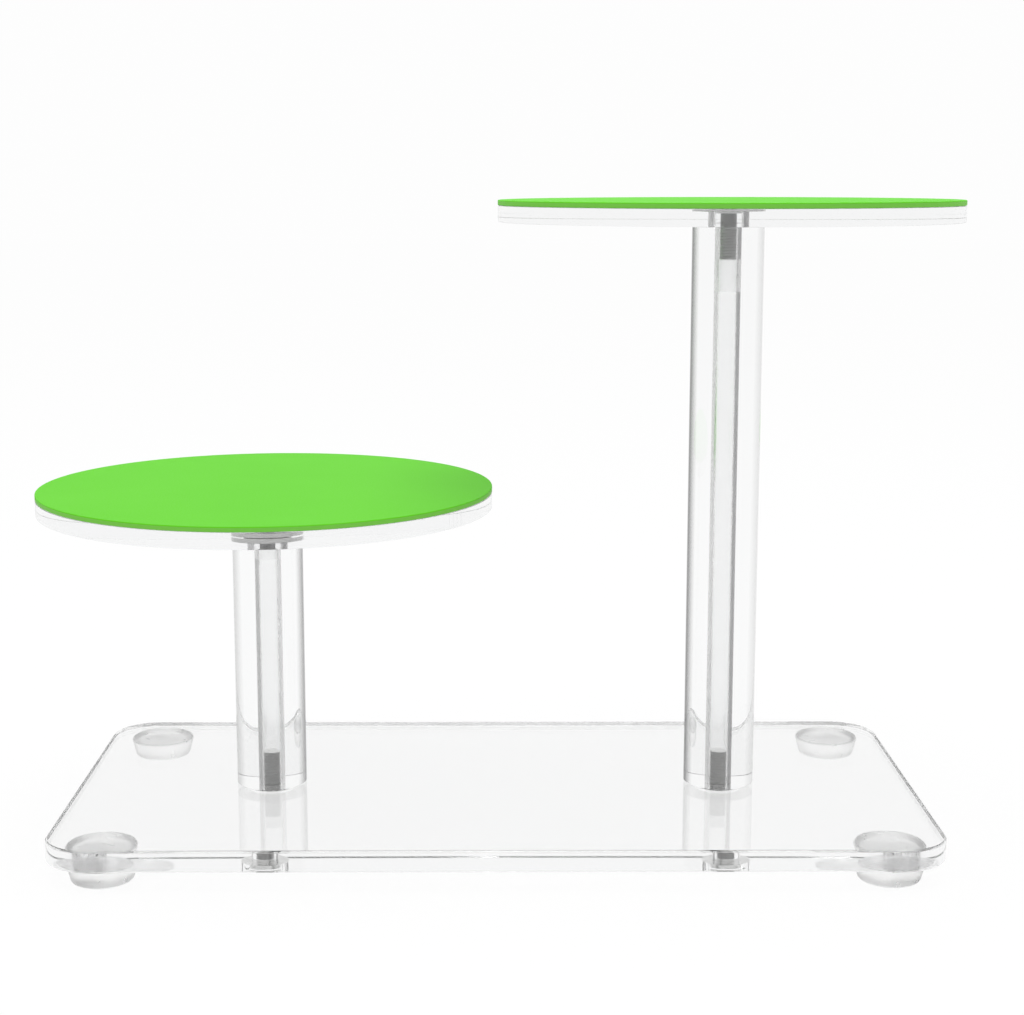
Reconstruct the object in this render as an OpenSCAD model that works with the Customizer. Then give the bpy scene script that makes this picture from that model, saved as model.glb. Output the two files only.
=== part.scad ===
// Two-level display riser: clear base, two clear bored columns, two round
// platforms that turn on shoulder screws, and four soft bumper feet.
// The counter is the plane z = 0. X runs along the base, low column on -X,
// Y runs from the front to the back.

/* [Base] */
// Width of the base plate
base_w = 300; // [290:1:340]
// Depth of the base plate
base_d = 148; // [130:1:200]
// Thickness of the base plate
base_t = 7.5; // [6:0.5:12]
// Corner radius of the base plate
base_r = 16; // [8:1:24]
// Distance between the axes of the two columns
column_pitch = 162; // [150:1:200]

/* [Feet] */
// Diameter of a foot where it is stuck to the base
foot_top_d = 24; // [16:0.5:30]
// Diameter of a foot on the counter
foot_bottom_d = 20.5; // [12:0.5:28]
// Height of a foot
foot_h = 6.5; // [5:0.5:10]
// Radius of the rounded edge at the bottom of a foot
foot_edge = 1.2; // [0.4:0.1:2]
// Radius of the rounded edge at the top of a foot
foot_lip = 0.4; // [0.2:0.1:0.8]
// Thickness of the adhesive disc over a foot
foot_glue_t = 0.4; // [0.2:0.1:1]
// Distance of a foot's axis from the left or right side of the base
foot_inset_x = 19; // [16:0.5:40]
// Distance of a foot's axis from the front or back of the base
foot_inset_y = 13.5; // [13:0.5:30]

/* [Columns] */
// Diameter of a column
column_d = 25; // [20:0.5:32]
// Length of the low column
short_h = 100; // [80:5:160]
// Length of the high column
tall_h = 200; // [165:5:300]
// Diameter of the bore through a column
column_bore_d = 5; // [4:0.1:5.4]
// Depth of the thread cut into the top of a column
thread_depth = 20; // [15:1:30]
// Thread left free over the end of a base screw
thread_spare = 1.5; // [1:0.5:5]
// Width of the countersink at the mouth of a thread
mouth_c = 0.5; // [0.2:0.1:0.8]

/* [Platforms] */
// Diameter of a platform
platform_d = 160; // [120:1:180]
// Thickness of the clear disc
disc_t = 5.5; // [4:0.5:10]
// Thickness of the coloured top
top_t = 1.8; // [1:0.1:3]
// Thickness of the washer between a column and its platform
washer_t = 1; // [0.5:0.1:2]
// Diameter of the washer
washer_d = 18; // [14:0.5:20]

/* [Screws] */
// Diameter of the thread
thread_d = 6; // [5.6:0.1:6.4]
// Length of thread inside a column
thread_len = 12; // [8:1:15]
// Length of the cone that ends the thread
thread_point = 1; // [0.5:0.1:1.5]
// Diameter of the shoulder that passes through a plate
shoulder_d = 9.4; // [8:0.1:10]
// Diameter of the flat head
head_d = 17; // [14:0.5:20]
// Thickness of the flat head
head_t = 1.5; // [1:0.1:2.5]
// Chamfer round both faces of the head
head_c = 0.3; // [0.2:0.1:0.5]
// Depth of the head under the face it is let into
head_sink = 0.2; // [0.1:0.1:0.5]
// Width across flats of the hexagon socket in the head
socket_af = 4; // [3:0.5:5]
// Depth of the hexagon socket
socket_depth = 3; // [1:0.5:4]

/* [Fits] */
// Radial clearance between a platform and its shoulder
turn_gap = 0.05; // [0.02:0.01:0.1]
// Radial clearance round a head and round a fixed shoulder
seat_gap = 0.1; // [0.05:0.05:0.3]
// Radial clearance between a thread and its column
thread_gap = 0.05; // [0.02:0.01:0.1]
// Space between the clear disc and the coloured top
film_gap = 0.1; // [0.05:0.05:0.3]
// Polished chamfer on the edges of the clear pieces
edge_c = 0.4; // [0.2:0.1:1]
// Fine chamfer on the edges of the coloured tops
top_c = 0.2; // [0.1:0.1:0.4]

/* [Hidden] */
$fn = 96;

base_z = foot_h + foot_glue_t;
column_z = base_z + base_t;
short_x = -column_pitch / 2;
tall_x = column_pitch / 2;
foot_x = base_w / 2 - foot_inset_x;
foot_y = base_d / 2 - foot_inset_y;
// Steps of a quarter round in a turned outline
round_steps = 5;
// How far a cut runs on past the face it opens in
cut = 1;
head_seat = head_t + head_sink;
mouth_d = thread_d + 2 * mouth_c;
clear = "#eef2f4cc";
steel = "silver";
rubber = "#d9dedbcc";
green = "#78e63c";

// Outline of a turned piece with all four edges chamfered: from bore to rim
module turned_section(r_in, r_out, h, c) {
    polygon([
        [r_in, 0],
        [r_out - c, 0],
        [r_out, c],
        [r_out, h - c],
        [r_out - c, h],
        [r_in, h],
    ]);
}

// Straight bar with the plate's chamfered section, laid along X
module plate_bar(length, width, h, c) {
    rotate([90, 0, 90])
        translate([0, 0, -length / 2])
            linear_extrude(length)
                polygon([
                    [-width / 2 + c, 0], [width / 2 - c, 0],
                    [width / 2, c], [width / 2, h - c],
                    [width / 2 - c, h], [-width / 2 + c, h],
                    [-width / 2, h - c], [-width / 2, c],
                ]);
}

// Rounded rectangular plate with a fine chamfer all round
module soft_plate(w, d, h, r, c) {
    plate_bar(w - 2 * r, d, h, c);
    rotate(90)
        plate_bar(d - 2 * r, w, h, c);
    for (x = [-1, 1], y = [-1, 1])
        translate([x * (w / 2 - r), y * (d / 2 - r), 0])
            rotate_extrude()
                turned_section(0, r, h, c);
}

// Hole for a shoulder screw, head down: through hole and seat for the head
module screw_seat(plate_t, gap) {
    translate([0, 0, -cut])
        cylinder(d = shoulder_d + 2 * gap, h = plate_t + 2 * cut);
    translate([0, 0, -cut])
        cylinder(d = head_d + 2 * seat_gap, h = head_seat + cut);
}

// Shoulder screw, head down: its shoulder ends at plate_t plus a washer
module shoulder_screw(plate_t, washer) {
    shoulder_top = plate_t + washer;
    thread_r = thread_d / 2 - thread_gap;
    difference() {
        union() {
            translate([0, 0, head_sink])
                rotate_extrude()
                    turned_section(0, head_d / 2, head_t, head_c);
            translate([0, 0, head_seat])
                cylinder(d = shoulder_d, h = shoulder_top - head_seat);
            translate([0, 0, shoulder_top])
                rotate_extrude()
                    polygon([
                        [0, 0],
                        [thread_r, 0],
                        [thread_r, thread_len - thread_point],
                        [thread_r - thread_point, thread_len],
                        [0, thread_len],
                    ]);
        }
        translate([0, 0, head_sink - cut])
            cylinder(d = socket_af / cos(30), h = socket_depth + cut, $fn = 6);
    }
}

// Points of a quarter round about [x, y] that begins at the given angle
function quarter(x, y, r, from) = [
    for (i = [0:round_steps])
        let (a = from + 90 * i / round_steps)
            [x + r * cos(a), y + r * sin(a)]
];

module foot(x, y) {
    color(rubber)
        translate([x, y, 0])
            rotate_extrude()
                polygon(concat(
                    [[0, 0]],
                    quarter(foot_bottom_d / 2 - foot_edge, foot_edge, foot_edge, -90),
                    quarter(foot_top_d / 2 - foot_lip, foot_h - foot_lip, foot_lip, 0),
                    [[0, foot_h]]
                ));
}

module glue(x, y) {
    color(clear)
        translate([x, y, foot_h])
            cylinder(d = foot_top_d - 2 * foot_lip, h = foot_glue_t);
}

module base_plate() {
    color(clear)
        translate([0, 0, base_z])
            difference() {
                soft_plate(base_w, base_d, base_t, base_r, edge_c);
                for (x = [short_x, tall_x])
                    translate([x, 0, 0])
                        screw_seat(base_t, seat_gap);
            }
}

module foot_front_left() foot(-foot_x, -foot_y);
module foot_front_right() foot(foot_x, -foot_y);
module foot_back_left() foot(-foot_x, foot_y);
module foot_back_right() foot(foot_x, foot_y);
module glue_front_left() glue(-foot_x, -foot_y);
module glue_front_right() glue(foot_x, -foot_y);
module glue_back_left() glue(-foot_x, foot_y);
module glue_back_right() glue(foot_x, foot_y);

// Round column with a bore right through and a threaded length at each end
module column(x, h) {
    color(clear)
        translate([x, 0, column_z])
            difference() {
                rotate_extrude()
                    turned_section(0, column_d / 2, h, edge_c);
                translate([0, 0, -cut])
                    cylinder(d = column_bore_d, h = h + 2 * cut);
                translate([0, 0, -cut])
                    cylinder(d = thread_d, h = thread_len + thread_spare + cut);
                translate([0, 0, h - thread_depth])
                    cylinder(d = thread_d, h = thread_depth + cut);
                cylinder(d1 = mouth_d, d2 = thread_d, h = mouth_c);
                translate([0, 0, h - mouth_c])
                    cylinder(d1 = thread_d, d2 = mouth_d, h = mouth_c);
            }
}

module short_column() column(short_x, short_h);
module tall_column() column(tall_x, tall_h);

module base_screw(x) {
    color(steel)
        translate([x, 0, base_z])
            shoulder_screw(base_t, 0);
}

module short_base_screw() base_screw(short_x);
module tall_base_screw() base_screw(tall_x);

// The platform screws stand on their heads: the thread points down
module platform_screw(x, h) {
    color(steel)
        translate([x, 0, column_z + h + washer_t + disc_t])
            mirror([0, 0, 1])
                shoulder_screw(disc_t, washer_t);
}

module short_platform_screw() platform_screw(short_x, short_h);
module tall_platform_screw() platform_screw(tall_x, tall_h);

module washer(x, h) {
    color(clear)
        translate([x, 0, column_z + h])
            difference() {
                cylinder(d = washer_d, h = washer_t);
                translate([0, 0, -cut])
                    cylinder(d = shoulder_d + 2 * seat_gap, h = washer_t + 2 * cut);
            }
}

module short_washer() washer(short_x, short_h);
module tall_washer() washer(tall_x, tall_h);

module platform_disc(x, h) {
    color(clear)
        translate([x, 0, column_z + h + washer_t])
            difference() {
                rotate_extrude()
                    turned_section(0, platform_d / 2, disc_t, edge_c);
                translate([0, 0, disc_t])
                    mirror([0, 0, 1])
                        screw_seat(disc_t, turn_gap);
            }
}

module short_platform_disc() platform_disc(short_x, short_h);
module tall_platform_disc() platform_disc(tall_x, tall_h);

module platform_top(x, h) {
    color(green)
        translate([x, 0, column_z + h + washer_t + disc_t + film_gap])
            rotate_extrude()
                turned_section(0, platform_d / 2, top_t, top_c);
}

module short_platform_top() platform_top(short_x, short_h);
module tall_platform_top() platform_top(tall_x, tall_h);

base_plate();
foot_front_left();
foot_front_right();
foot_back_left();
foot_back_right();
glue_front_left();
glue_front_right();
glue_back_left();
glue_back_right();
short_column();
tall_column();
short_base_screw();
tall_base_screw();
short_platform_screw();
tall_platform_screw();
short_washer();
tall_washer();
short_platform_disc();
tall_platform_disc();
short_platform_top();
tall_platform_top();
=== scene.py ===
"""Looks of the two-level display riser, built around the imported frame.

Lengths are metres in the part's frame: X along the base, Y to the back, Z up from the counter.
"""

import math

import bmesh
import bpy
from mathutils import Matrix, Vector


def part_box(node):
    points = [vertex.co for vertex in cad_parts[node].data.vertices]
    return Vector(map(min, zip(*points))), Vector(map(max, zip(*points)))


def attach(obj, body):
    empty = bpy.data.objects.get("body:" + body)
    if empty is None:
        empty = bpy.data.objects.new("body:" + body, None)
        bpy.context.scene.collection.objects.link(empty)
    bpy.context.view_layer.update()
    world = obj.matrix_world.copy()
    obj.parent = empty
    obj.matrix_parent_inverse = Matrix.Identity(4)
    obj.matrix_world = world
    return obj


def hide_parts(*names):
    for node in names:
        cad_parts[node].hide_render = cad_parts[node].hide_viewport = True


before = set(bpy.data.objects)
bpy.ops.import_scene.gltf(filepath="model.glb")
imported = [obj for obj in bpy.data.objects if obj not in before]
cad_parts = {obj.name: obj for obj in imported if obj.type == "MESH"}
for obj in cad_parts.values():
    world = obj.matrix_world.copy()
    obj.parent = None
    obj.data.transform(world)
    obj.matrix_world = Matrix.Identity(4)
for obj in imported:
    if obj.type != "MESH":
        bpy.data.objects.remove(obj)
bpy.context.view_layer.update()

MM = 0.001

# Sizes of the solids that their boxes don't give
PLATE_R = 16 * MM
HEAD_R = 8.5 * MM
HEAD_T = 1.5 * MM
HEAD_SINK = 0.2 * MM
SHOULDER_R = 4.7 * MM
SEAT_GAP = 0.1 * MM
TURN_GAP = 0.05 * MM
SOCKET_FLATS = 4 * MM
SOCKET_DEPTH = 3 * MM
THREAD_R = 3.0 * MM
THREAD_LEN = 12 * MM

# Sizes that differ from the solids: the columns' bore and the lengths tapped at their tops, and the
# waist between the bearing lands of the platform screws' shoulders
BORE_R = 3.1 * MM
TAPPED = {"short": 17 * MM, "tall": 23 * MM}
WAIST_R = 2.8 * MM
LAND = 0.6 * MM

# The thread on the screws and, much shallower, in the columns; its run-out is a share of its length
PITCH = 1.0 * MM
THREAD = 0.14 * MM
TAPPED_DEPTH = 0.03 * MM
THREAD_GAP = 0.05 * MM
THREAD_START = 0.2 * MM
THREAD_END = 0.5 * MM
TAPPED_END = 0.1 * MM
STEPS_PER_TURN = 8
RUN_OUT = 0.03

# The screws' sockets: the drill's point under the flats, their chamfer, and the radii of the mouth
# and of the flat ring round it
DRILL_POINT = 0.6 * MM
SOCKET_CHAMFER = 0.15 * MM
MOUTH_R = 0.64 * SOCKET_FLATS
MOUTH_RING_R = 0.72 * SOCKET_FLATS

# The feet and their adhesive: how far a foot draws in towards its tread, the dimple in its middle,
# and how far the adhesive's lower and upper face draw in from its rim
FOOT_TAPER = 1.75 * MM
DIMPLE = 0.25 * MM
GLUE_DRAW = (0.3 * MM, 0.2 * MM)

# Rounds of the edges
COLUMN_TOP_EDGE = 0.5 * MM
COLUMN_FOOT_EDGE = 0.2 * MM
HEAD_EDGE = 0.3 * MM
HEAD_SEAT_EDGE = 0.15 * MM
SHOULDER_EDGE = 0.25 * MM
DISC_EDGE = 0.1 * MM
TOP_EDGE = 0.35 * MM
WASHER_EDGE = 0.25 * MM
PLATE_EDGE = 0.8 * MM
TREAD_EDGE = 1.1 * MM
FOOT_TOP_EDGE = 0.5 * MM

# How finely things are divided: round a turned piece, round a hole and a corner of the plate,
# across the plate's edge, and across every other edge
TURNS = 144
HOLE_TURNS = 96
CORNER_STEPS = 20
PLATE_EDGE_STEPS = 8
EDGE_STEPS = 4
SMOOTH_ANGLE = math.radians(32)

# Side faces of the plate this near its back line count as its back edge, which takes painted shade
BACK_REACH = 2 * MM

# Faces that touch stand this far apart, so that light passes from one clear piece into the next
TOUCH = 0.02 * MM

# Strength of the white room, seen and as light
WHITE = 0.985
SOFT_LIGHT = 0.55

# The floor: its grey for light, its glow, and how much of what is seen of it is glow
FLOOR_GREY = 0.9
FLOOR_GLOW = 1.02
FLOOR_SEEN = 0.93

# Tones of acrylic with painted edge shade: its clear tone face on, and the painted shade edge on
FACE_ON = (0.95, 0.953, 0.953, 1)
EDGE_ON_PAINTED_SHADE = (0.1, 0.1, 0.103, 1)
PAINTED_SHADE_CLEARNESS = 0.15

# How much shade is painted on each column's outer wall and bore at their left and right edges, more
# on one side than the other as light falls, a bore's tapped length as a share of the rest of it,
# the platforms' holes, and the plate's back edge
PAINTED_SHADE_SIDES = {
    "short": ((0.4, 0.8), (0.75, 0.45)),
    "tall": ((1.0, 0.25), (0.5, 0.9)),
}
TAPPED_SHADE_SHARE = 0.45
HOLE_PAINTED_SHADE = (0.7, 0.9)
BACK_PAINTED_SHADE = (0.42, 0.42)

# Layer Weight values between which the painted shade begins and is deepest
OUTER_TURN = (0.38, 0.75)
BORE_TURN = (0.2, 0.34)
BACK_TURN = (0.15, 0.3)

# Least and most roughness of acrylic as it is worked
POLISHED = (0, 0.012)
FLAMED = (0.01, 0.05)
SAWN_ENDS = (0.02, 0.12)
BORED = (0.18, 0.25)
THREADED = (0.35, 0.45)

ACRYLIC_IOR = 1.49


def axis_of(node):
    low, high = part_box(node)
    return (low.x + high.x) / 2, (low.y + high.y) / 2


def heights(node):
    low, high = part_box(node)
    return low.z, high.z


def radius_of(node):
    low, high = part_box(node)
    return (high.y - low.y) / 2


def round_corners(points):
    """Profile points (r, z, size of the round, slot) with each corner turned into a short curve."""
    out = []
    for i, (r, z, size, slot) in enumerate(points):
        if size <= 0:
            out.append((r, z, slot))
            continue
        here = Vector((r, z))
        before = Vector(points[i - 1][:2])
        after = Vector(points[(i + 1) % len(points)][:2])
        a = here + (before - here).normalized() * size
        b = here + (after - here).normalized() * size
        for k in range(EDGE_STEPS + 1):
            t = k / EDGE_STEPS
            p = a * (1 - t) ** 2 + here * 2 * t * (1 - t) + b * t * t
            out.append((p.x, p.y, slot))
    return out


def threaded(z0, z1, crest, root, slot):
    """Rings of a helical thread between two heights, which fades out over RUN_OUT at each end."""
    count = max(2, round(abs(z1 - z0) / PITCH * STEPS_PER_TURN))
    rings = []
    for k in range(count + 1):
        z = z0 + (z1 - z0) * k / count
        fade = min(1.0, min(k, count - k) / (count * RUN_OUT + 0.25))
        rings.append((("thread", crest, root, fade), z, slot))
    return rings


def ring_radius(r, z, angle):
    """Radius of a ring at an angle: r is a number, or a tuple for a thread or a hexagon."""
    if not isinstance(r, tuple):
        return r
    if r[0] == "hexagon":
        return r[1] / math.cos((angle % (math.pi / 3)) - math.pi / 6)
    crest, root, fade = r[1:]
    phase = (z / PITCH - angle / (2 * math.pi)) % 1
    depth = abs(2 * phase - 1)
    return crest + (root - crest) * depth * fade


def link_object(name, data):
    obj = bpy.data.objects.new(name, data)
    bpy.context.scene.collection.objects.link(obj)
    return obj


def make_object(name, verts, faces, slots, materials):
    mesh = bpy.data.meshes.new(name)
    mesh.from_pydata(verts, [], faces)
    for face, slot in zip(mesh.polygons, slots):
        face.material_index = slot
    for material in materials:
        mesh.materials.append(material)
    bm = bmesh.new()
    bm.from_mesh(mesh)
    bmesh.ops.recalc_face_normals(bm, faces=bm.faces)
    bm.to_mesh(mesh)
    bm.free()
    return link_object(name, mesh)


def smooth(obj):
    """Shade the rounds smooth and keep the flats flat: normals follow the larger faces."""
    bpy.context.view_layer.objects.active = obj
    obj.select_set(True)
    bpy.ops.object.shade_smooth_by_angle(angle=SMOOTH_ANGLE)
    weighted = obj.modifiers.new("flats", "WEIGHTED_NORMAL")
    weighted.mode = "FACE_AREA"
    weighted.weight = 100
    weighted.keep_sharp = True
    bpy.ops.object.modifier_apply(modifier=weighted.name)
    obj.select_set(False)
    return obj


def lathe(name, axis, rings, materials, open_profile=False):
    """Turned piece: rings are (radius, z, slot), a radius of 0 is a point on the axis."""
    verts, loops = [], []
    for r, z, slot in rings:
        if r == 0:
            loops.append([len(verts)] * TURNS)
            verts.append((axis[0], axis[1], z))
            continue
        loop = []
        for i in range(TURNS):
            angle = 2 * math.pi * i / TURNS
            rr = ring_radius(r, z, angle)
            loop.append(len(verts))
            verts.append((axis[0] + rr * math.cos(angle), axis[1] + rr * math.sin(angle), z))
        loops.append(loop)
    faces, slots = [], []
    last = len(loops) - 1 if open_profile else len(loops)
    for k in range(last):
        one, two = loops[k], loops[(k + 1) % len(loops)]
        for i in range(TURNS):
            j = (i + 1) % TURNS
            corners = list(dict.fromkeys([one[i], one[j], two[j], two[i]]))
            if len(corners) >= 3:
                faces.append(corners)
                slots.append(rings[k][2])
    return smooth(make_object(name, verts, faces, slots, materials))


def column(name, node, tapped, outer, bore):
    """Clear rod bored right through, with the thread shown past the upper screw's end.

    outer and bore say how much shade is painted on the two walls at their left and right edges.
    """
    z0, z1 = heights(node)
    z0, z1 = z0 + TOUCH, z1 - TOUCH
    x, r = axis_of(node)[0], radius_of(node)
    outside = round_corners([
        (BORE_R, z1, 0, 3), (r, z1, COLUMN_TOP_EDGE, 0),
        (r, z0, COLUMN_FOOT_EDGE, 3), (BORE_R, z0, 0, 1),
    ])
    screw_end = z1 - THREAD_LEN
    inside = [(BORE_R, z1 - tapped - TAPPED_END, 2)]
    inside += threaded(z1 - tapped, screw_end, BORE_R, BORE_R + TAPPED_DEPTH, 2)
    inside += [(BORE_R, screw_end + TAPPED_END, 1)]
    cut = [TAPPED_SHADE_SHARE * grey for grey in bore]
    materials = [
        painted_edge_shade(name + "_outer", x, r, OUTER_TURN, POLISHED, outer),
        painted_edge_shade(name + "_bore", x, BORE_R, BORE_TURN, BORED, bore, inside=True),
        painted_edge_shade(name + "_tapped", x, BORE_R, BORE_TURN, THREADED, cut, inside=True),
        SAWN,
    ]
    return lathe(name, axis_of(node), outside + inside, materials)


def screw(name, node, seat_z, up, materials):
    """Shoulder screw drawn tight against its seat: up is +1 with the thread upwards.

    A platform screw's shoulder has a waist between two lands. A base screw's is plain, and only
    its middle is rougher, and darker with the threads' painted shade.
    """
    z0, z1 = heights(node)
    tip = z1 - z0
    head_out = z0 if up > 0 else z1
    face = 0 if up > 0 else TOUCH - HEAD_SINK
    shoulder_end = abs(seat_z - head_out)
    crest = THREAD_R - THREAD_GAP
    root = crest - THREAD

    def at(distance):
        return head_out + up * distance

    if up < 0:
        middle = [
            (SHOULDER_R, at(HEAD_T + LAND), 0, 0), (WAIST_R, at(HEAD_T + LAND), 0, 1),
            (WAIST_R, at(shoulder_end - LAND), 0, 0), (SHOULDER_R, at(shoulder_end - LAND), 0, 0),
        ]
    else:
        middle = [
            (SHOULDER_R, at(HEAD_T + 2 * LAND), 0, 1),
            (SHOULDER_R, at(shoulder_end - 2 * LAND), 0, 0),
        ]
    outside = round_corners([
        (MOUTH_RING_R, at(face), 0, 0),
        (HEAD_R, at(face), HEAD_EDGE, 0),
        (HEAD_R, at(HEAD_T + TOUCH), HEAD_SEAT_EDGE, 0),
        (SHOULDER_R, at(HEAD_T + TOUCH), 0, 0),
        *middle,
        (SHOULDER_R, at(shoulder_end), SHOULDER_EDGE, 0),
        (root, at(shoulder_end), 0, 1),
    ])
    body = threaded(at(shoulder_end + THREAD_START), at(tip - THREAD_END), crest, root, 1)
    end = [(root, at(tip), 0), (0, at(tip), 0)]
    hexagon = ("hexagon", SOCKET_FLATS / 2)
    socket = [
        (0, at(SOCKET_DEPTH + DRILL_POINT), 2),
        (hexagon, at(SOCKET_DEPTH), 2),
        (hexagon, at(face + SOCKET_CHAMFER), 2),
        (MOUTH_R, at(face), 0),
    ]
    rings = socket + outside + body + end
    return lathe(name, axis_of(node), rings, materials, open_profile=True)


def platform_disc(name, node, materials):
    """Clear disc: its hole runs on the screw's shoulder, and the head lies tight in its recess."""
    z0, z1 = heights(node)
    r = radius_of(node)
    seat = z1 - HEAD_T - HEAD_SINK
    hole, recess = SHOULDER_R + TURN_GAP, HEAD_R - TOUCH
    rings = round_corners([
        (r, z0, DISC_EDGE, 1), (r, z1, DISC_EDGE, 0), (recess, z1, 0, 0), (recess, seat, 0, 0),
        (hole, seat, 0, 2), (hole, z0, 0, 0),
    ])
    axis = axis_of(node)
    # The hole's wall takes shade painted where it is seen edge on from inside
    wall = painted_edge_shade(name + "_hole", axis[0], hole, BORE_TURN, POLISHED, HOLE_PAINTED_SHADE, inside=True)
    return lathe(name, axis, rings, materials + [wall])


def platform_top(name, node, materials):
    z0, z1 = heights(node)
    r = radius_of(node)
    rings = round_corners([
        (0, z0, 0, 2), (r, z0, TOP_EDGE, 1), (r, z1, TOP_EDGE, 0), (0, z1, 0, 0),
    ])
    return lathe(name, axis_of(node), rings, materials, open_profile=True)


def washer(name, node, materials):
    z0, z1 = heights(node)
    z1 -= TOUCH
    corners = ((radius_of(node), z0), (radius_of(node), z1))
    corners += ((SHOULDER_R + SEAT_GAP, z1), (SHOULDER_R + SEAT_GAP, z0))
    rings = round_corners([(r, z, WASHER_EDGE, 0) for r, z in corners])
    return lathe(name, axis_of(node), rings, materials)


def foot(name, node, materials):
    """Soft bumper: a drawn-in side, a rounded tread and a shallow dimple in the bottom."""
    z0, z1 = heights(node)
    z0 += TOUCH
    top_r = radius_of(node)
    bottom_r = top_r - FOOT_TAPER
    rings = round_corners([
        (0, z0 + DIMPLE, 0, 0), (bottom_r * 0.55, z0 + DIMPLE * 0.8, 0, 0),
        (bottom_r * 0.75, z0, 0, 0), (bottom_r, z0, TREAD_EDGE, 0),
        (top_r, z1, FOOT_TOP_EDGE, 0), (0, z1, 0, 0),
    ])
    return lathe(name, axis_of(node), rings, materials, open_profile=True)


def glue(name, node, materials):
    """Adhesive disc: it wets the plate and the foot, so it reaches a hair into both."""
    z0, z1 = heights(node)
    z0, z1 = z0 - TOUCH, z1 + TOUCH
    r = radius_of(node)
    rings = [
        (0, z0, 0), (r - GLUE_DRAW[0], z0, 0), (r, (z0 + z1) / 2, 0),
        (r - GLUE_DRAW[1], z1, 0), (0, z1, 0),
    ]
    return lathe(name, axis_of(node), rings, materials, open_profile=True)


def rounded_outline(low, high, inset, z):
    """The plate's outline drawn in by inset, at height z."""
    points = []
    r = PLATE_R - inset
    for sx, sy, start in ((1, 1, 0), (-1, 1, 90), (-1, -1, 180), (1, -1, 270)):
        cx = (high.x if sx > 0 else low.x) - sx * PLATE_R
        cy = (high.y if sy > 0 else low.y) - sy * PLATE_R
        for k in range(CORNER_STEPS + 1):
            a = math.radians(start + 90 * k / CORNER_STEPS)
            points.append((cx + r * math.cos(a), cy + r * math.sin(a), z))
    return points


def circle(axis, r, z):
    turn = [2 * math.pi * i / HOLE_TURNS for i in range(HOLE_TURNS)]
    return [(axis[0] + r * math.cos(a), axis[1] + r * math.sin(a), z) for a in turn]


def base_plate(name, node, screws, materials):
    """Rounded plate with polished edges and a recessed through hole for each screw."""
    low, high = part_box(node)
    z0, z1 = low.z, high.z
    verts, faces, slots = [], [], []

    def add(points):
        first = len(verts)
        verts.extend(points)
        return list(range(first, first + len(points)))

    def skin(one, two, slot):
        for i in range(len(one)):
            j = (i + 1) % len(one)
            faces.append((one[i], one[j], two[j], two[i]))
            slots.append(slot)

    side = []
    for k in range(PLATE_EDGE_STEPS + 1):
        t = math.pi / 2 * k / PLATE_EDGE_STEPS
        side.append((PLATE_EDGE * (1 - math.sin(t)), z0 + PLATE_EDGE * (1 - math.cos(t))))
    side += [(inset, z0 + z1 - z) for inset, z in reversed(side)]
    loops = [add(rounded_outline(low, high, inset, z)) for inset, z in side]
    for one, two in zip(loops, loops[1:]):
        skin(one, two, 1)
    # Faces along the back edge take the third material, with painted shade
    for k, face in enumerate(faces):
        if sum(verts[v][1] for v in face) / len(face) > high.y - BACK_REACH:
            slots[k] = 2
    seat = z0 + HEAD_T + HEAD_SINK
    r_hole, r_head = SHOULDER_R + SEAT_GAP, HEAD_R + SEAT_GAP
    tops, bottoms = [loops[-1]], [loops[0]]
    for axis in screws:
        profile = ((r_hole, z1), (r_hole, seat), (r_head, seat), (r_head, z0))
        rings = [add(circle(axis, r, z)) for r, z in profile]
        for one, two in zip(rings, rings[1:]):
            skin(one, two, 0)
        tops.append(rings[0])
        bottoms.append(rings[-1])
    obj = make_object(name, verts, faces, slots, materials)
    bm = bmesh.new()
    bm.from_mesh(obj.data)
    bm.verts.ensure_lookup_table()
    for group in (tops, bottoms):
        edges = []
        for loop in group:
            for i, v in enumerate(loop):
                edges.append(bm.edges.get((bm.verts[v], bm.verts[loop[(i + 1) % len(loop)]])))
        bmesh.ops.triangle_fill(bm, edges=edges, use_beauty=True)
    bmesh.ops.recalc_face_normals(bm, faces=bm.faces)
    bm.to_mesh(obj.data)
    bm.free()
    return smooth(obj)


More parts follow.
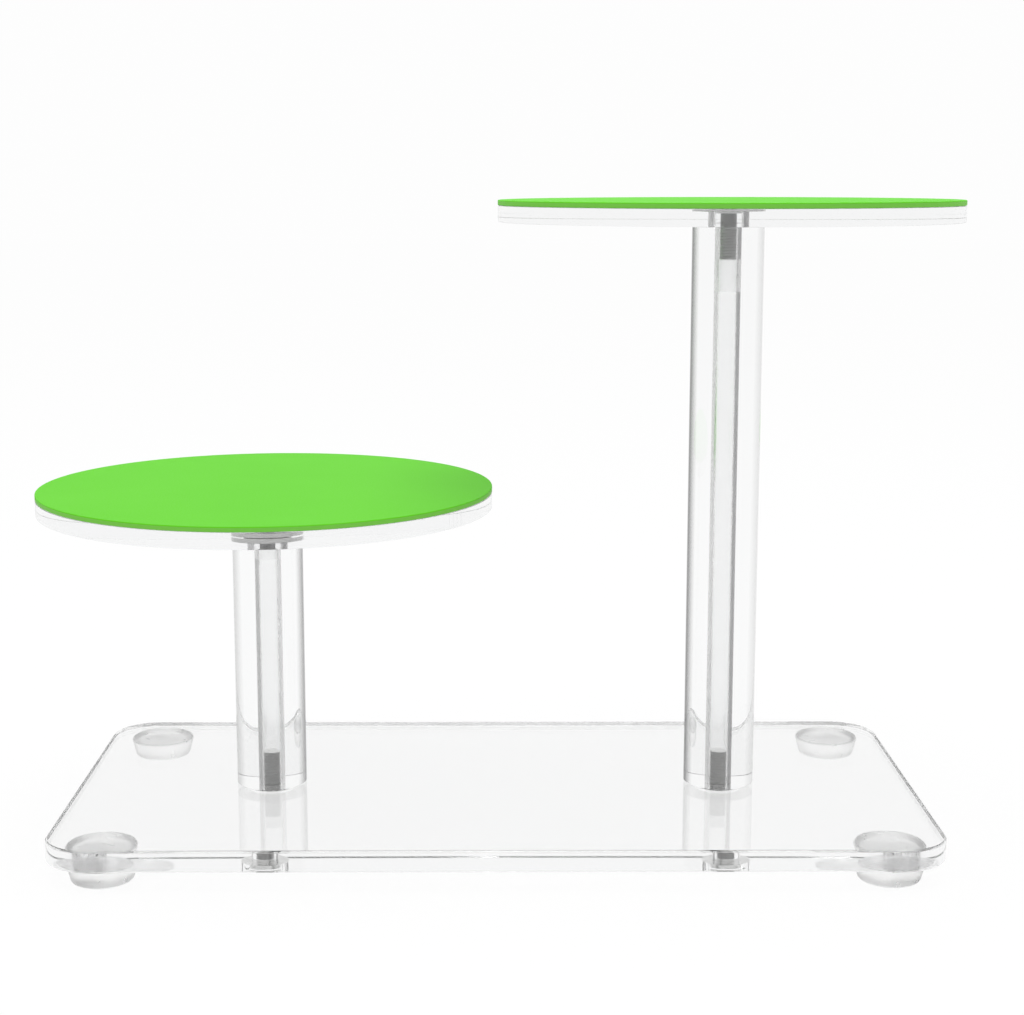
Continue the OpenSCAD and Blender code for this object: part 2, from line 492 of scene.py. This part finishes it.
class Nodes:
    """The node tree of a material or of the world, with short calls to add and join nodes."""

    def __init__(self, name, world=False):
        self.material = bpy.data.worlds.new(name) if world else bpy.data.materials.new(name)
        self.material.use_nodes = True
        self.tree = self.material.node_tree
        self.tree.nodes.clear()
        self.out = self.add("OutputWorld" if world else "OutputMaterial")

    def add(self, kind, **values):
        """New node; each value is set on its property or else on its socket, _ for a space."""
        node = self.tree.nodes.new("ShaderNode" + kind)
        for key, value in values.items():
            if hasattr(node, key):
                setattr(node, key, value)
            else:
                node.inputs[key.replace("_", " ")].default_value = value
        return node

    def link(self, a, b):
        self.tree.links.new(a, b)

    def shows(self, node):
        self.link(node.outputs[0], self.out.inputs["Surface"])

    def principled(self, **values):
        node = self.add("BsdfPrincipled", **values)
        self.shows(node)
        return node

    def mix(self, share, one, two):
        """Show shader one where share is 0, shader two where it is 1, and a mix between."""
        node = self.add("MixShader")
        for socket, shader in zip(node.inputs, (share, one.outputs[0], two.outputs[0])):
            self.link(shader, socket)
        self.shows(node)

    def noise(self, scale, detail=3, stretch=(1, 1, 1)):
        mapping = self.add("Mapping", Scale=stretch)
        self.link(self.add("TexCoord").outputs["Object"], mapping.inputs["Vector"])
        node = self.add("TexNoise", Scale=scale, Detail=detail)
        self.link(mapping.outputs[0], node.inputs["Vector"])
        return node.outputs["Fac"]

    def spread(self, socket, low, high, start=0.3, end=0.7):
        """Values of a socket from start to end, spread over low to high."""
        node = self.add("MapRange", From_Min=start, From_Max=end, To_Min=low, To_Max=high)
        self.link(socket, node.inputs["Value"])
        return node.outputs[0]

    def maths(self, operation, one, two):
        node = self.add("Math", operation=operation)
        self.link(one, node.inputs[0])
        self.link(two, node.inputs[1])
        return node.outputs[0]

    def ramp(self, socket, low, high, start=0.0, end=1.0):
        """Colours between low and high by a socket's value, as it goes from start to end."""
        node = self.add("ValToRGB")
        first, last = node.color_ramp.elements
        first.position, first.color = start, low
        last.position, last.color = end, high
        self.link(socket, node.inputs["Fac"])
        return node.outputs[0]

    def roughen(self, shader, noise, rough, bump=None):
        """Roughness between two values by a noise, and bumps (strength, height) where asked."""
        self.link(self.spread(noise, *rough), shader.inputs["Roughness"])
        if bump:
            node = self.add("Bump", Strength=bump[0], Distance=bump[1])
            self.link(noise, node.inputs["Height"])
            self.link(node.outputs[0], shader.inputs["Normal"])

    def seen(self):
        """1 for rays from the camera, directly or through gloss and glass; 0 for rays of light."""
        path = self.add("LightPath").outputs
        flag = self.maths("MAXIMUM", path["Is Camera Ray"], path["Is Glossy Ray"])
        return self.maths("MAXIMUM", flag, path["Is Transmission Ray"])


def painted_edge_shade(name, middle_x, reach, turn, rough, sides, inside=False):
    """Acrylic with shade painted where it is seen edge on, in two amounts at its left and right
    sides.

    The sides lie reach to the left and right of middle_x. With inside, the shade is painted only
    where it is seen from inside the acrylic.
    """
    m = Nodes(name)
    p = m.principled(IOR=ACRYLIC_IOR)
    edge = m.spread(m.add("LayerWeight", Blend=0.5).outputs["Facing"], 0, 1, *turn)
    split = m.add("SeparateXYZ")
    m.link(m.add("TexCoord").outputs["Object"], split.inputs[0])
    side = m.spread(split.outputs["X"], *sides, middle_x - reach, middle_x + reach)
    if inside:
        edge = m.maths("MULTIPLY", edge, m.add("NewGeometry").outputs["Backfacing"])
    # The painted shade: how edge on the surface is, times the amount for its side
    grey = m.maths("MULTIPLY", edge, side)
    m.link(m.ramp(grey, FACE_ON, EDGE_ON_PAINTED_SHADE), p.inputs["Base Color"])
    m.link(m.spread(grey, 1, PAINTED_SHADE_CLEARNESS, 0, 1), p.inputs["Transmission Weight"])
    m.roughen(p, m.noise(60, 4), rough)
    return m.material


def even(name, noise, rough, bump=None, **values):
    """Material of one colour, roughened by a noise (its arguments, as a dict)."""
    m = Nodes(name)
    m.roughen(m.principled(**values), m.noise(**noise), rough, bump)
    return m.material


def clear(name, colour, noise, rough, bump=None, ior=ACRYLIC_IOR, weight=1.0):
    values = {"Base_Color": (*colour, 1), "Transmission_Weight": weight, "IOR": ior}
    return even(name, noise, rough, bump, **values)


def plated_steel(name, rough, tint):
    noise = {"scale": 1200, "stretch": (0.3, 0.3, 6)}
    return even(name, noise, rough, (0.08, 0.02 * MM), Base_Color=(*tint, 1), Metallic=1.0)


def green_face():
    m = Nodes("green_face")
    p = m.principled(IOR=1.46, Specular_IOR_Level=0.1)
    green = m.ramp(m.noise(14), (0.145, 0.705, 0.02, 1), (0.16, 0.74, 0.028, 1), 0.3, 0.7)
    m.link(green, p.inputs["Base Color"])
    m.roughen(p, m.noise(1800), (0.48, 0.62), (0.12, 0.03 * MM))
    return m.material


def green_edge():
    m = Nodes("green_edge")
    p = m.principled(IOR=1.46, Specular_IOR_Level=0.25)
    layers = m.noise(500, stretch=(1, 1, 6))
    green = m.ramp(layers, (0.2, 0.66, 0.065, 1), (0.255, 0.76, 0.095, 1))
    m.link(green, p.inputs["Base Color"])
    m.roughen(p, layers, (0.5, 0.7))
    return m.material


def pale_backing():
    """The film on the underside of a green sheet."""
    tone = {"Base_Color": (0.84, 0.86, 0.83, 1), "IOR": 1.46, "Specular_IOR_Level": 0.3}
    return even("pale_backing", {"scale": 300}, (0.5, 0.65), (0.1, 0.02 * MM), **tone)


ACRYLIC = clear("clear_acrylic", (0.93, 0.932, 0.932), {"scale": 60, "detail": 4}, POLISHED)
EDGE_CLEAR = clear("polished_edge", (0.92, 0.92276, 0.92552),
                   {"scale": 900, "stretch": (1, 1, 0.05)}, FLAMED, (0.02, 0.02 * MM))
# The plate's back edge: shade painted where it is seen edge on from inside
BACK_EDGE_PAINTED_SHADE = painted_edge_shade("back_edge_painted_shade", 0, 1, BACK_TURN, FLAMED, BACK_PAINTED_SHADE, inside=True)
SAWN = clear("sawn_acrylic", (0.97, 0.98, 0.98), {"scale": 700, "detail": 4}, SAWN_ENDS)
GREEN = green_face()
GREEN_EDGE = green_edge()
BACKING = pale_backing()
# One plating in lit and shaded copies: lighter on the base screws as painted light, darker on the
# platform screws, darker still on the threads and darkest in the sockets as painted shade
SHADED_STEEL = plated_steel("plated_steel", (0.12, 0.25), (0.52, 0.52, 0.515))
LIT_STEEL = plated_steel("lit_plated_steel", (0.15, 0.3), (0.74, 0.74, 0.733))
SHADED_THREAD_STEEL = plated_steel("shaded_thread_steel", (0.4, 0.55), (0.4, 0.4, 0.397))
SHADED_SOCKET_STEEL = plated_steel("shaded_socket_steel", (0.35, 0.5), (0.3, 0.3, 0.3))
RUBBER = clear("bumper_rubber", (1.0, 1.0, 0.998), {"scale": 250, "detail": 4}, (0.26, 0.36),
               (0.03, 0.01 * MM), ior=1.46, weight=0.98)
GLUE = clear("adhesive_disc", (0.99, 0.992, 0.99), {"scale": 400}, (0.05, 0.12), ior=1.45)
SOFT_WASHER = clear("soft_washer", (0.72, 0.725, 0.725), {"scale": 400}, (0.15, 0.25),
                    ior=1.45, weight=0.6)


def dress(obj, node, body):
    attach(obj, body)
    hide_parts(node)


def build_stand():
    screws = [axis_of("short_base_screw"), axis_of("tall_base_screw")]
    plate = base_plate("clear_base", "base_plate", screws, [ACRYLIC, EDGE_CLEAR, BACK_EDGE_PAINTED_SHADE])
    dress(plate, "base_plate", "stand")
    for place in ("front_left", "front_right", "back_left", "back_right"):
        node = "foot_" + place
        dress(foot("bumper_" + place, node, [RUBBER]), node, "stand")
        node = "glue_" + place
        dress(glue("adhesive_" + place, node, [GLUE]), node, "stand")
    for side in ("short", "tall"):
        node = side + "_column"
        post = column("clear_" + node, node, TAPPED[side], *PAINTED_SHADE_SIDES[side])
        dress(post, node, "stand")
        foot_z, top_z = heights(node)
        node = side + "_base_screw"
        steels = [LIT_STEEL, SHADED_THREAD_STEEL, SHADED_SOCKET_STEEL]
        bolt = screw("plated_" + node, node, foot_z - TOUCH, 1, steels)
        dress(bolt, node, "stand")
        node = side + "_platform_screw"
        steels = [SHADED_STEEL, SHADED_THREAD_STEEL, SHADED_SOCKET_STEEL]
        bolt = screw("plated_" + node, node, top_z + TOUCH, -1, steels)
        dress(bolt, node, "stand")
        node = side + "_washer"
        dress(washer("soft_" + node, node, [SOFT_WASHER]), node, "stand")


def build_platform(side):
    body = side + "_platform"
    node = side + "_platform_disc"
    disc = platform_disc("clear_" + node, node, [ACRYLIC, EDGE_CLEAR])
    dress(disc, node, body)
    node = side + "_platform_top"
    sheet = platform_top("green_" + node, node, [GREEN, GREEN_EDGE, BACKING])
    dress(sheet, node, body)


def camera():
    """The photograph's view: a camera a little to the left of the middle, tilted down."""
    frame_px, middle_px = (1024, 1015), (490, 490)
    focal_px = 1889.6
    pitch, yaw, roll = math.radians(9.45), math.radians(0.08), math.radians(-0.06)
    x, y, above_base = -2.56 * MM, -660.76 * MM, 216.69 * MM
    data = bpy.data.cameras.new("photo_view")
    data.sensor_width = 36
    data.lens = data.sensor_width * focal_px / frame_px[0]
    data.shift_x = (frame_px[0] / 2 - middle_px[0]) / frame_px[0]
    data.shift_y = (middle_px[1] - frame_px[1] / 2) / frame_px[0]
    data.clip_start = 0.01
    obj = link_object("photo_view", data)
    obj.location = (x, y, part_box("base_plate")[1].z + above_base)
    obj.rotation_euler = (math.pi / 2 - pitch, -roll, -yaw)
    bpy.context.scene.camera = obj


def stage():
    """Pale floor: seen as an even white, and grey for the light and shadows on it."""
    m = Nodes("pale_floor")
    share = m.add("Math", operation="MULTIPLY")
    share.inputs[1].default_value = FLOOR_SEEN
    m.link(m.seen(), share.inputs[0])
    matt = m.add("BsdfDiffuse", Color=(FLOOR_GREY, FLOOR_GREY, FLOOR_GREY, 1))
    glow = m.add("Emission", Color=(1, 1, 1, 1), Strength=FLOOR_GLOW)
    m.mix(share.outputs[0], matt, glow)
    mesh = bpy.data.meshes.new("floor")
    bm = bmesh.new()
    bmesh.ops.create_grid(bm, x_segments=4, y_segments=4, size=6)
    bm.to_mesh(mesh)
    bm.free()
    mesh.materials.append(m.material)
    link_object("floor", mesh)


def lamp(name, place, target, size, watts):
    data = bpy.data.lights.new(name, "AREA")
    data.shape = "RECTANGLE"
    data.size, data.size_y = size
    data.energy = watts
    obj = link_object(name, data)
    obj.location = place
    obj.rotation_euler = (Vector(target) - Vector(place)).to_track_quat("-Z", "Y").to_euler()


def lights():
    """White studio: camera, gloss and glass all see the same white; only its light is softer."""
    m = Nodes("studio", world=True)
    bpy.context.scene.world = m.material
    soft = m.add("Background", Color=(1, 1, 1, 1), Strength=SOFT_LIGHT)
    white = m.add("Background", Color=(1, 1, 1, 1), Strength=WHITE)
    m.mix(m.seen(), soft, white)
    lamp("over", place=(0, -0.1, 1.4), target=(0, 0, 0.1), size=(1.2, 1.0), watts=9)


camera()
build_stand()
for which in ("short", "tall"):
    build_platform(which)
stage()
lights()

scene = bpy.context.scene
scene.view_settings.view_transform = "Standard"
# Enough bounces for light to pass through every clear piece in a row
scene.cycles.max_bounces = 48
scene.cycles.transmission_bounces = 48
scene.cycles.glossy_bounces = 24
